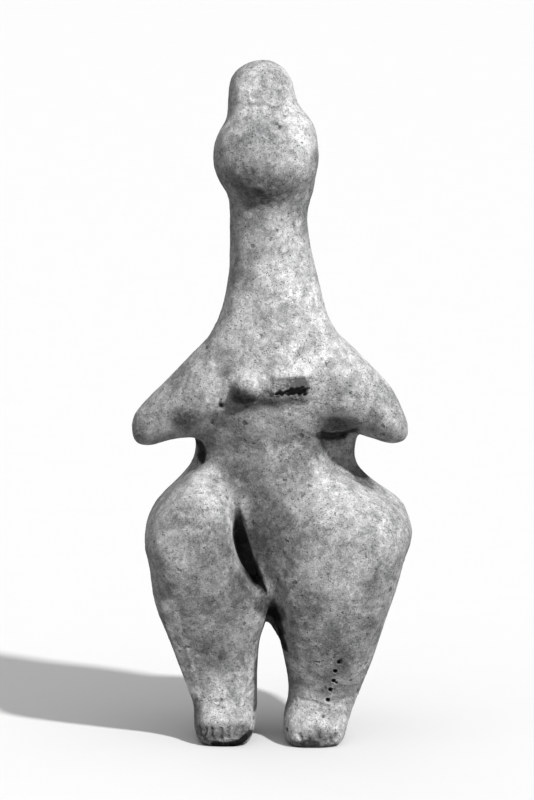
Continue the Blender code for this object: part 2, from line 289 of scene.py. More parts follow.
scar = {
    "middle": (5.7 * mm, 117.6 * mm),  # across and up
    "halfSize": (5.9 * mm, 3.0 * mm),
    "corner": 1.5 * mm,
    "lean": 0.05,
    "proudAbove": 2.1 * mm,  # how far the upper edge stands out of the chest
    "proudBelow": 1.0 * mm,
    "rampHeight": 3.4 * mm,  # over this height the chest swells out to the upper edge
    "edge": 0.6 * mm,
    "chipMiddle": (9.2 * mm, 113.8 * mm),
    "chipHalfSize": (3.6 * mm, 1.8 * mm),
    "chipProud": 0.5 * mm,
    "patch": (1.7 * mm, 3.4 * mm),  # skin laid anew up to the first distance, blended out at the second
    "around": 9 * mm,  # the work stays within this distance of the outline,
    "inFrontOf": -9 * mm,  # and in front of this depth
    "ring": (3.2 * mm, 7 * mm),  # distances between which the chest's own curve is read
    "ringLeft": -2 * mm,
    "chestFront": -12 * mm,
    "rubbed": ((0.7 * mm, 1.6 * mm), (4.5 * mm, 6.5 * mm)),  # where the skin round it is rubbed soft
    "rubRounds": 8,
    "bridge": [(-5.0, 118.0), (1.8, 118.0)],  # clay between the two breasts, in mm like its reach
    "bridgeReach": (0.8, 3.2),
    "bridgeFront": -20.2 * mm,
    "bridgeRounds": 14,
    "toneEdge": (-0.5 * mm, 0.4 * mm),  # the broken clay's tone ends here
    "toneLeft": (-5.5 * mm, -2.0 * mm),
}


def outsideScar(points):  # how far each point lies outside the scar's outline, and its place along and up it
    turn = scar["lean"]
    across, up = points[:, 0] - scar["middle"][0], points[:, 2] - scar["middle"][1]
    u = across * math.cos(turn) + up * math.sin(turn)
    v = up * math.cos(turn) - across * math.sin(turn)
    beyondU = np.abs(u) - scar["halfSize"][0] + scar["corner"]
    beyondV = np.abs(v) - scar["halfSize"][1] + scar["corner"]
    corner = np.hypot(np.maximum(beyondU, 0), np.maximum(beyondV, 0))
    return corner + np.minimum(np.maximum(beyondU, beyondV), 0) - scar["corner"], u, v


def scarHeight(points):  # how proud of the chest the broken breast stands
    outside, u, v = outsideScar(points)
    halfWide, halfHigh = scar["halfSize"]
    share = np.clip((v + halfHigh) / (2 * halfHigh), 0, 1)
    proud = scar["proudBelow"] + (scar["proudAbove"] - scar["proudBelow"]) * share
    block = proud * (1 - smoothStep(outside, -scar["edge"], scar["edge"]))
    ramp = scar["proudAbove"] * (1 - smoothStep(v - halfHigh, 0, scar["rampHeight"]))
    ramp *= smoothStep(v - halfHigh, -2.0 * scar["edge"], -scar["edge"])
    ramp *= 1 - smoothStep(np.abs(u) - halfWide, -1.5 * mm, 2.0 * mm)
    middle, half = scar["chipMiddle"], scar["chipHalfSize"]
    far = np.hypot((points[:, 0] - middle[0]) / half[0], (points[:, 2] - middle[1]) / half[1])
    chip = scar["chipProud"] * (1 - smoothStep(far, 0.2, 1.1))
    return np.maximum(np.maximum(block, ramp), chip)


def chestLevel(points, outside):  # the chest's own curve, fitted round the scar
    ring = (outside > scar["ring"][0]) & (outside < scar["ring"][1])
    ring &= (points[:, 0] > scar["ringLeft"]) & (points[:, 1] < scar["chestFront"])
    x, z = (points[:, 0] - scar["middle"][0]) / mm, (points[:, 2] - scar["middle"][1]) / mm
    terms = np.stack([np.ones(len(points)), x, z, x * x, x * z, z * z], 1)
    found = np.linalg.lstsq(terms[ring], points[ring, 1], rcond=None)[0]
    return terms @ found


def layBridge(points, pairs):
    far = distanceToPath(points[:, (0, 2)] / mm, scar["bridge"])
    joined = 1 - smoothStep(far, *scar["bridgeReach"])
    joined *= points[:, 1] < scar["chestFront"]
    points[:, 1] += np.minimum(scar["bridgeFront"] - points[:, 1], 0) * joined
    for _ in range(scar["bridgeRounds"]):
        points += (averaged(points, pairs, 1) - points) * joined[:, None]


def layScar(obj, rounds):
    points, pairs = pointsOf(obj), edgesOf(obj)
    outside = outsideScar(points)[0]
    near = np.flatnonzero((outside < scar["around"]) & (points[:, 1] < scar["inFrontOf"]))
    local = np.full(len(points), -1)
    local[near] = np.arange(len(near))
    inner = local[pairs]
    inner = inner[(inner >= 0).all(1)]
    patch, outside = points[near], outside[near]
    weight = 1 - smoothStep(outside, *scar["patch"])
    for _ in range(rounds):
        soft = averaged(patch, inner, 1)
        patch = patch + (soft - patch) * weight[:, None]
        target = chestLevel(patch, outsideScar(patch)[0]) - scarHeight(patch)
        patch[:, 1] += (target - patch[:, 1]) * weight
    begins, ends = scar["rubbed"]
    band = smoothStep(outside, *begins) * (1 - smoothStep(outside, *ends))
    for _ in range(scar["rubRounds"]):
        patch += (averaged(patch, inner, 1) - patch) * band[:, None]
    points[near] = patch
    layBridge(points, pairs)
    putPoints(obj, points)
    outside, u = outsideScar(points)[:2]
    putAttribute(obj, "scar", (1 - smoothStep(outside, *scar["toneEdge"])) * smoothStep(u, *scar["toneLeft"]))


layScar(clay, 24)
splitCloseUps(clay)
print("close-ups split:", len(clay.data.polygons), "faces")
layScar(clay, 2)
print("scar laid")


# Single marks that the hand, the tool and the years left, in mm

marks = {
    "pits": [  # place across, place up, width, depth
        (1.3, 201.1, 1.1, 0.7), (2.3, 200.1, 1.2, 0.7),  # brow
        (-6.1, 186.6, 1.0, 0.5), (0.7, 188.0, 0.9, 0.4),  # front of the head
        (-20.8, 128.6, 1.2, 0.6),  # shoulder
        (-16.3, 110.7, 2.0, 1.4),  # beside the right breast
        (16.3, 9.8, 1.2, 0.5), (4.6, 5.2, 1.4, 0.9),  # left foot
        (20.5, 20.7, 1.0, 0.6),  # beside the third punched hole
    ],
    "creases": [  # width, depth, then places across and up
        (1.8, 0.30, [(-9.3, 205.9), (-3.2, 206.9), (4.0, 204.3)]),  # foot of the topknot
        (1.3, 0.35, [(8.9, 14.9), (13.0, 14.4), (18.0, 12.7)]),  # left ankle
        (0.8, 0.50, [(3.3, 56.0), (5.0, 57.0)]),  # crack on the left thigh
        (0.8, 0.45, [(-19.0, 14.6), (-17.0, 14.1), (-14.6, 15.0)]),  # right ankle
        (1.1, 0.40, [(-5.2, 112.6), (-4.0, 114.6)]),  # beside the right breast
        (0.5, 0.18, [(5.3, 47.0), (6.8, 40.0)]),
        (0.5, 0.18, [(7.4, 46.5), (8.2, 41.0)]),
        (0.6, 0.16, [(12.2, 27.8), (17.8, 28.1)]),
    ],
    "gaps": [  # ragged recesses, painted dark as shade: width, depth, then places across and up
        (1.9, 1.4, [(1.8, 115.1), (3.6, 115.1), (6.2, 115.2)]),  # under the scar
        (3.1, 1.9, [(5.8, 115.4), (8.2, 115.5), (9.6, 115.6)]),
        (2.2, 1.2, [(9.6, 115.7), (10.6, 116.2)]),
        (2.3, 1.5, [(-4.6, 53.6), (-3.6, 52.0), (-2.6, 50.6)]),  # foot of the groove
    ],
    "ragged": 0.17,  # how far the recesses' edges stray
    "waves": [(3.3, 1.0), (-2.4, 2.9), (1.3, -4.1)],
    "front": -0.003,  # marks lie on what faces forwards of this depth
}


def pressMarks(obj):
    points, normals = pointsOf(obj), normalsOf(obj)
    facing = smoothStep(-normals[:, 1], 0.1, 0.4) * (points[:, 1] < marks["front"])
    flat = points[:, (0, 2)] / mm
    inwards = np.zeros(len(points))
    shadeInMarks = np.zeros(len(points))
    for across, up, width, depth in marks["pits"]:
        bowl = 1 - smoothStep(np.hypot(flat[:, 0] - across, flat[:, 1] - up), 0.15 * width, 0.62 * width)
        inwards = np.maximum(inwards, bowl * depth)
        shadeInMarks = np.maximum(shadeInMarks, bowl)
    for width, depth, path in marks["creases"]:
        cut = 1 - smoothStep(distanceToPath(flat, path), 0.0, 0.6 * width)
        inwards = np.maximum(inwards, cut * depth)
        shadeInMarks = np.maximum(shadeInMarks, cut * min(1.0, depth))
    stray = sum(np.sin(flat @ np.array(wave) + place) for place, wave in enumerate(marks["waves"]))
    for width, depth, path in marks["gaps"]:
        far = distanceToPath(flat, path) + marks["ragged"] * stray
        gap = 1 - smoothStep(far, 0.2 * width, 0.6 * width)
        inwards = np.maximum(inwards, gap * depth)
        shadeInMarks = np.maximum(shadeInMarks, gap)
    points[:, 1] += inwards * facing * mm
    putPoints(obj, points)
    # every pit, crease and gap is painted dark as shade
    putAttribute(obj, "markShade", shadeInMarks * facing)


pressMarks(clay)
print("single marks pressed")


# Fired clay: mottled grey, pale crust, fine dark pits, and painted shade in recesses

clayFinish = {
    "darkTone": (0.205, 0.208, 0.210, 1),
    "midTone": (0.410, 0.413, 0.412, 1),
    "paleTone": (0.610, 0.612, 0.606, 1),
    "crustTone": (0.700, 0.702, 0.692, 1),
    # dark of the fine pits and specks, and also the painted shade in marks, holes, toe cuts and hollows
    "pitAndShadeTone": (0.035, 0.036, 0.037, 1),
    # broken clay's tone, darker partly as painted shade on its downturned face
    "brokenAndShadeTone": (0.150, 0.151, 0.152, 1),
    "bumpDepth": 0.22 * mm,
    # how fine each pattern is, in turns per metre
    "broadMottle": 42,
    "patchMottle": 150,
    "fineMottle": 900,
    "patchiness": 210,
    "crustGrain": 1100,
    "grain": 2300,
    "blotches": 520,
    "pitPatches": 70,
    "veins": 260,
    "veinGaps": 480,
    "brokenGrain": 900,
    "roughPatches": 400,
    "bumpGrain": 620,
    "finePits": 0.75 * mm,  # spacing
    "widePits": 2.6 * mm,
    "widePitShare": 0.12,
}


def speckGroup():  # fine specks and pits, with their spacing in metres
    group = bpy.data.node_groups.new("claySpecks", "ShaderNodeTree")
    for name, kind in (("Vector", "Vector"), ("Spacing", "Float"), ("Share", "Float")):
        group.interface.new_socket(name, in_out="INPUT", socket_type="NodeSocket" + kind)
    group.interface.new_socket("Specks", in_out="OUTPUT", socket_type="NodeSocketFloat")
    given = group.nodes.new("NodeGroupInput").outputs
    place = scaled(group, given["Vector"], maths(group, "DIVIDE", 1.0, given["Spacing"]))
    bend = addNode(group, "ShaderNodeTexNoise", {"Vector": place, "Scale": 1.7, "Detail": 2.0})
    bent = vectorMaths(group, "ADD", place, scaled(group, bend.outputs["Color"], 0.9))
    cells = addNode(group, "ShaderNodeTexVoronoi", {"Vector": bent, "Scale": 1.0})
    pick = addNode(group, "ShaderNodeSeparateColor", {"Color": cells.outputs["Color"]})
    chosen = maths(group, "LESS_THAN", pick.outputs[0], given["Share"])
    width = smoothBetween(group, pick.outputs[1], 0.0, 1.0, 0.12, 0.42)
    inner = maths(group, "MULTIPLY", width, 0.45)
    spot = smoothBetween(group, cells.outputs["Distance"], inner, width, 1.0, 0.0)
    out = group.nodes.new("NodeGroupOutput")
    group.links.new(maths(group, "MULTIPLY", spot, chosen), out.inputs[0])
    return group


def mixColour(tree, factor, a, b, blend="MIX"):
    node = tree.nodes.new("ShaderNodeMix")
    node.data_type = "RGBA"
    node.blend_type = blend
    plug(tree, factor, node.inputs["Factor"])
    plug(tree, a, node.inputs[6])
    plug(tree, b, node.inputs[7])
    return node.outputs[2]


def clayMaterial():
    material = bpy.data.materials.new("firedClay")
    material.use_nodes = True
    tree = material.node_tree
    shader = tree.nodes["Principled BSDF"]
    place = tree.nodes.new("ShaderNodeTexCoord").outputs["Object"]

    def noise(scale, detail=4.0, rough=0.55, vector=place, warp=0.0):
        inputs = {"Vector": vector, "Scale": scale, "Detail": detail, "Roughness": rough, "Distortion": warp}
        return addNode(tree, "ShaderNodeTexNoise", inputs).outputs["Fac"]

    def mask(name):
        return addNode(tree, "ShaderNodeAttribute", attribute_name=name).outputs["Fac"]

    def specks(spacing, share):
        node = addNode(tree, "ShaderNodeGroup", node_tree=speckTree)
        plug(tree, place, node.inputs["Vector"])
        plug(tree, spacing, node.inputs["Spacing"])
        plug(tree, share, node.inputs["Share"])
        return node.outputs[0]

    def times(a, b):
        return maths(tree, "MULTIPLY", a, b)

    def largest(*values):
        most = values[0]
        for value in values[1:]:
            most = maths(tree, "MAXIMUM", most, value)
        return most

    # base tone from three sizes of mottling
    speckTree = speckGroup()
    broad = smoothBetween(tree, noise(clayFinish["broadMottle"], 3.0, 0.5), 0.34, 0.66)
    patch = smoothBetween(tree, noise(clayFinish["patchMottle"], 6.0, 0.62, warp=0.6), 0.36, 0.64)
    fine = smoothBetween(tree, noise(clayFinish["fineMottle"], 5.0, 0.7), 0.3, 0.7)
    tone = maths(tree, "MULTIPLY_ADD", patch, 0.4, times(fine, 0.25))
    tone = maths(tree, "MULTIPLY_ADD", broad, 0.35, tone)
    tone = maths(tree, "MULTIPLY_ADD", mask("crest"), 0.12, tone)
    ramp = addNode(tree, "ShaderNodeValToRGB", {"Fac": tone})
    ramp.color_ramp.elements[0].position = 0.12
    ramp.color_ramp.elements[0].color = clayFinish["darkTone"]
    ramp.color_ramp.elements[1].position = 0.92
    ramp.color_ramp.elements[1].color = clayFinish["paleTone"]
    middle = ramp.color_ramp.elements.new(0.5)
    middle.color = clayFinish["midTone"]

    # stains, mixed with painted shade and painted light, come in patches, and pale crust lies on top of them
    patchiness = noise(clayFinish["patchiness"], 5.0, 0.66, warp=0.5)
    patchyStainAndShade = times(mask("stainAndShade"), smoothBetween(tree, patchiness, 0.32, 0.68, 0.62, 1.38))
    shade = maths(tree, "EXPONENT", times(patchyStainAndShade, -1.0))
    colour = mixColour(tree, 1.0, ramp.outputs[0], shade, "MULTIPLY")
    crustGrain = smoothBetween(tree, noise(clayFinish["crustGrain"], 4.0, 0.7), 0.35, 0.6, 0.35, 1.0)
    crust = times(mask("crust"), crustGrain)
    crust = times(crust, smoothBetween(tree, mask("stainAndShade"), 0.3, 1.4, 1.0, 0.0))
    colour = mixColour(tree, times(crust, 0.5), colour, clayFinish["crustTone"])

    # fine grain, specks, veins and pits
    grain = noise(clayFinish["grain"], 3.0, 0.6)
    colour = mixColour(tree, 0.55, colour, smoothBetween(tree, grain, 0.25, 0.75, 0.45, 1.5), "MULTIPLY")
    blotch = smoothBetween(tree, noise(clayFinish["blotches"], 5.0, 0.7, warp=0.4), 0.34, 0.66, 0.8, 1.2)
    colour = mixColour(tree, 1.0, colour, blotch, "MULTIPLY")
    density = smoothBetween(tree, noise(clayFinish["pitPatches"], 3.0), 0.35, 0.65, 0.12, 0.55)
    finePits = specks(clayFinish["finePits"], density)
    pits = largest(finePits, specks(clayFinish["widePits"], clayFinish["widePitShare"]))
    ridge = noise(clayFinish["veins"], 4.0, 0.6, warp=0.8)
    ridge = maths(tree, "ABSOLUTE", maths(tree, "SUBTRACT", ridge, 0.5))
    parted = smoothBetween(tree, noise(clayFinish["veinGaps"], 2.0), 0.5, 0.6)
    veins = times(smoothBetween(tree, ridge, 0.004, 0.02, 1.0, 0.0), parted)
    colour = mixColour(tree, largest(times(pits, 0.62), times(veins, 0.4)), colour, clayFinish["pitAndShadeTone"])
    # the broken scar: its own clay tone, with painted shade for its face turned down
    brokenGrain = smoothBetween(tree, noise(clayFinish["brokenGrain"], 5.0, 0.75), 0.40, 0.60, 0.15, 1.0)
    broken = times(mask("scar"), brokenGrain)
    colour = mixColour(tree, broken, colour, clayFinish["brokenAndShadeTone"])
    # painted shade in pressed marks, punched holes, toe cuts and hollows
    paintedDepthShade = largest(times(largest(mask("markShade"), mask("punched")), 0.9), times(mask("toeCut"), 0.3))
    colour = mixColour(tree, largest(paintedDepthShade, times(mask("hollowShade"), 0.7)), colour, clayFinish["pitAndShadeTone"])
    plug(tree, colour, shader.inputs["Base Color"])

    rough = smoothBetween(tree, noise(clayFinish["roughPatches"], 4.0), 0.3, 0.7, 0.82, 0.98)
    plug(tree, rough, shader.inputs["Roughness"])
    shader.inputs["Metallic"].default_value = 0.0
    shader.inputs["Specular IOR Level"].default_value = 0.2

    height = maths(tree, "MULTIPLY_ADD", noise(clayFinish["bumpGrain"], 6.0, 0.65), 0.9, times(grain, 0.35))
    height = maths(tree, "MULTIPLY_ADD", crust, 0.25, height)
    height = maths(tree, "MULTIPLY_ADD", largest(pits, times(veins, 0.5)), -0.8, height)
    bump = addNode(tree, "ShaderNodeBump", {"Height": height, "Distance": clayFinish["bumpDepth"]})
    plug(tree, bump.outputs[0], shader.inputs["Normal"])
    return material


firedClay = clayMaterial()
clay.data.materials.append(firedClay)
print("clay material mixed")


# Relief of the clay skin: hand unevenness, grain and pits, all over

skin = {
    "Hand Size": 13 * mm,
    "Hand Depth": 0.55 * mm,
    "Grain Size": 3.2 * mm,
    "Grain Depth": 0.26 * mm,
    "Pit Spacing": 4.2 * mm,
    "Pit Depth": 0.32 * mm,
    "Crust Size": 3.4 * mm,
    "Crust Height": 0.14 * mm,
    "Seed": 4.0,
    "Clay": firedClay,
}


def skinTree():
    kinds = {"Clay": "NodeSocketMaterial"}
    tree, given = newGeometryTree("claySkin", [(name, kinds.get(name, "NodeSocketFloat")) for name in skin])
    place = tree.nodes.new("GeometryNodeInputPosition").outputs[0]
    normal = tree.nodes.new("GeometryNodeInputNormal").outputs[0]

    def unevenness(size, depth, detail):
        spot = scaled(tree, place, maths(tree, "DIVIDE", 1.0, size))
        inputs = {"Vector": spot, "W": given["Seed"], "Scale": 1.0, "Detail": detail}
        found = addNode(tree, "ShaderNodeTexNoise", inputs, noise_dimensions="4D")
        return maths(tree, "MULTIPLY", maths(tree, "SUBTRACT", found.outputs["Fac"], 0.5), depth)

    hand = unevenness(given["Hand Size"], given["Hand Depth"], 1.5)
    grain = unevenness(given["Grain Size"], given["Grain Depth"], 3.0)
    spot = scaled(tree, place, maths(tree, "DIVIDE", 1.0, given["Pit Spacing"]))
    inputs = {"Vector": spot, "W": given["Seed"], "Scale": 1.0}
    cells = addNode(tree, "ShaderNodeTexVoronoi", inputs, voronoi_dimensions="4D")
    pick = addNode(tree, "FunctionNodeSeparateColor", {"Color": cells.outputs["Color"]})
    width = smoothBetween(tree, pick.outputs[0], 0.35, 1.0, 0.02, 0.34)
    bowl = smoothBetween(tree, cells.outputs["Distance"], 0.0, width, 1.0, 0.0)
    pit = maths(tree, "MULTIPLY", bowl, given["Pit Depth"])
    spot = scaled(tree, place, maths(tree, "DIVIDE", 1.0, given["Crust Size"]))
    inputs = {"Vector": spot, "W": given["Seed"], "Scale": 1.0}
    finer = {**inputs, "Detail": 6.0, "Roughness": 0.7, "Distortion": 0.4}
    flakes = addNode(tree, "ShaderNodeTexNoise", finer, noise_dimensions="4D").outputs["Fac"]
    inputs["Vector"] = scaled(tree, spot, 0.22)
    where = addNode(tree, "ShaderNodeTexNoise", inputs, noise_dimensions="4D")
    patches = smoothBetween(tree, where.outputs["Fac"], 0.42, 0.62, 0.1, 1.0)
    crust = maths(tree, "MULTIPLY", smoothBetween(tree, flakes, 0.51, 0.60), patches)
    kept = keepAttribute(tree, given[0], "crust", crust)
    height = maths(tree, "SUBTRACT", maths(tree, "ADD", hand, grain), pit)
    height = maths(tree, "MULTIPLY_ADD", crust, given["Crust Height"], height)
    inputs = {"Geometry": kept, "Offset": scaled(tree, normal, height)}
    moved = addNode(tree, "GeometryNodeSetPosition", inputs)
    endGeometryTree(tree, moved.outputs[0], given["Clay"])
    return tree


applyTree(clay, skinTree(), skin)
print("clay skin roughened")


# Row of holes punched down the left shin

punched = {
    "Start": (21.2 * mm, 0, 27.9 * mm),
    "End": (17.8 * mm, 0, 14.7 * mm),
    "Holes": 5,
    "Hole Width": 1.25 * mm,
    "Hole Depth": 1.7 * mm,
    "Rim": 0.10 * mm,
    "Wander": 0.3 * mm,
    "Front": -8 * mm,
    "Seed": 3,
    "Clay": firedClay,
}


def rowSockets(values):  # the named inputs of a row of marks
    kinds = {"Start": "Vector", "End": "Vector", "Holes": "Int", "Cuts": "Int", "Seed": "Int"}
    kinds["Clay"] = "Material"
    return [(name, "NodeSocket" + kinds.get(name, "Float")) for name in values]


# distance from a target seen from the front, so that a mark goes straight in
def distanceAcross(tree, place, target, element):
    parts = addNode(tree, "ShaderNodeSeparateXYZ", {0: place})
    seen = addNode(tree, "ShaderNodeCombineXYZ", {0: parts.outputs[0], 2: parts.outputs[2]})
    near = tree.nodes.new("GeometryNodeProximity")
    near.target_element = element
    plug(tree, target, near.inputs[0])
    plug(tree, seen.outputs[0], near.inputs["Sample Position"])
    return near.outputs["Distance"], parts.outputs[1]


def punchTree():
    tree, given = newGeometryTree("punchedRow", rowSockets(punched))
    place = tree.nodes.new("GeometryNodeInputPosition").outputs[0]
    row = addNode(tree, "GeometryNodeMeshLine", mode="END_POINTS")
    plug(tree, given["Holes"], row.inputs["Count"])
    plug(tree, given["Start"], row.inputs["Start Location"])
    plug(tree, given["End"], row.inputs["Offset"])
    wander = addNode(tree, "FunctionNodeRandomValue", data_type="FLOAT_VECTOR")
    plug(tree, (-1, 0, -1), wander.inputs[0])
    plug(tree, (1, 0, 1), wander.inputs[1])
    plug(tree, given["Seed"], wander.inputs["Seed"])
    shifted = addNode(tree, "GeometryNodeSetPosition", {"Geometry": row.outputs[0]})
    plug(tree, scaled(tree, wander.outputs[0], given["Wander"]), shifted.inputs["Offset"])
    far, depth = distanceAcross(tree, place, shifted.outputs[0], "POINTS")
    front = maths(tree, "LESS_THAN", depth, given["Front"])
    inner = maths(tree, "MULTIPLY", given["Hole Width"], 0.36)
    outer = maths(tree, "MULTIPLY", given["Hole Width"], 0.62)
    hole = maths(tree, "MULTIPLY", smoothBetween(tree, far, inner, outer, 1.0, 0.0), front)
    rimEnd = maths(tree, "MULTIPLY", given["Hole Width"], 1.1)
    rim = maths(tree, "MULTIPLY", smoothBetween(tree, far, outer, rimEnd, 1.0, 0.0), front)
    raised = maths(tree, "MULTIPLY", rim, given["Rim"])
    push = maths(tree, "SUBTRACT", maths(tree, "MULTIPLY", hole, given["Hole Depth"]), raised)
    offset = addNode(tree, "ShaderNodeCombineXYZ", {1: push})
    # the hole mask, which the material paints dark as shade
    kept = keepAttribute(tree, given[0], "punched", hole)
    inputs = {"Geometry": kept, "Offset": offset.outputs[0]}
    moved = addNode(tree, "GeometryNodeSetPosition", inputs)
    endGeometryTree(tree, moved.outputs[0], given["Clay"])
    return tree


applyTree(clay, punchTree(), punched)
print("holes punched")


# Short cuts that mark the toes, one row on each foot

rightToes = {
    "Start": (-24.0 * mm, 0, 4.6 * mm),
    "End": (-9.6 * mm, 0, 5.2 * mm),
    "Cuts": 7,
    "Cut Width": 2.0 * mm,
    "Cut Height": 2.8 * mm,
    "Cut Depth": 0.6 * mm,
    "Wander": 0.5 * mm,
    "Lean": 0.6,
    "Front": -11 * mm,
    "Seed": 5,
    "Clay": firedClay,
}
leftToes = {
    **rightToes,
    "Start": (8.0 * mm, 0, 3.2 * mm),
    "End": (21.3 * mm, 0, 3.4 * mm),
    "Cuts": 5,
    "Cut Width": 1.9 * mm,
    "Cut Height": 1.8 * mm,
    "Cut Depth": 0.5 * mm,
    "Wander": 0.9 * mm,
    "Lean": 1.2,
    "Seed": 11,
}


def toeTree():
    tree, given = newGeometryTree("toeCuts", rowSockets(rightToes))
    place = tree.nodes.new("GeometryNodeInputPosition").outputs[0]
    normal = tree.nodes.new("GeometryNodeInputNormal").outputs[0]

    def chance(low, high, step):  # a random vector for each cut
        picked = addNode(tree, "FunctionNodeRandomValue", data_type="FLOAT_VECTOR")
        plug(tree, maths(tree, "ADD", given["Seed"], step), picked.inputs["Seed"])
        plug(tree, low, picked.inputs[0])
        plug(tree, high, picked.inputs[1])
        return picked.outputs[0]

    row = addNode(tree, "GeometryNodeMeshLine", mode="END_POINTS")
    plug(tree, given["Cuts"], row.inputs["Count"])
    plug(tree, given["Start"], row.inputs["Start Location"])
    plug(tree, given["End"], row.inputs["Offset"])
    strayed = scaled(tree, chance((-1, 0, -1), (1, 0, 1), 1), given["Wander"])
    points = addNode(tree, "GeometryNodeSetPosition", {"Geometry": row.outputs[0], "Offset": strayed})
    stroke = addNode(tree, "GeometryNodeMeshLine", mode="END_POINTS")
    stroke.inputs["Count"].default_value = 2
    half = maths(tree, "MULTIPLY", given["Cut Height"], 0.5)
    low = addNode(tree, "ShaderNodeCombineXYZ", {2: maths(tree, "MULTIPLY", half, -1.0)})
    high = addNode(tree, "ShaderNodeCombineXYZ", {2: half})
    plug(tree, low.outputs[0], stroke.inputs["Start Location"])
    plug(tree, high.outputs[0], stroke.inputs["Offset"])
    inputs = {"Points": points.outputs[0], "Instance": stroke.outputs[0]}
    cuts = addNode(tree, "GeometryNodeInstanceOnPoints", inputs)
    plug(tree, scaled(tree, chance((0, -0.5, 0), (0, 0.5, 0), 2), given["Lean"]), cuts.inputs["Rotation"])
    plug(tree, chance((1, 1, 0.45), (1, 1, 1.15), 3), cuts.inputs["Scale"])
    real = addNode(tree, "GeometryNodeRealizeInstances", {"Geometry": cuts.outputs[0]})
    far, depth = distanceAcross(tree, place, real.outputs[0], "EDGES")
    front = maths(tree, "LESS_THAN", depth, given["Front"])
    inputs = {"Vector": place, "Scale": 700.0, "Detail": 2.0}
    ragged = addNode(tree, "ShaderNodeTexNoise", inputs).outputs["Fac"]
    edge = maths(tree, "MULTIPLY", given["Cut Width"], smoothBetween(tree, ragged, 0.3, 0.7, 0.35, 0.8))
    cut = maths(tree, "MULTIPLY", smoothBetween(tree, far, 0.0, edge, 1.0, 0.0), front)
    before = addNode(tree, "GeometryNodeInputNamedAttribute", {"Name": "toeCut"})
    both = maths(tree, "MAXIMUM", before.outputs["Attribute"], cut)
    # the cut mask, which the material paints darker as shade
    kept = keepAttribute(tree, given[0], "toeCut", both)
    push = maths(tree, "MULTIPLY", maths(tree, "MULTIPLY", cut, given["Cut Depth"]), -1.0)
    inputs = {"Geometry": kept, "Offset": scaled(tree, normal, push)}
    moved = addNode(tree, "GeometryNodeSetPosition", inputs)
    endGeometryTree(tree, moved.outputs[0], given["Clay"])
    return tree


toeCuts = toeTree()
applyTree(clay, toeCuts, rightToes)
applyTree(clay, toeCuts, leftToes)
print("toes cut")
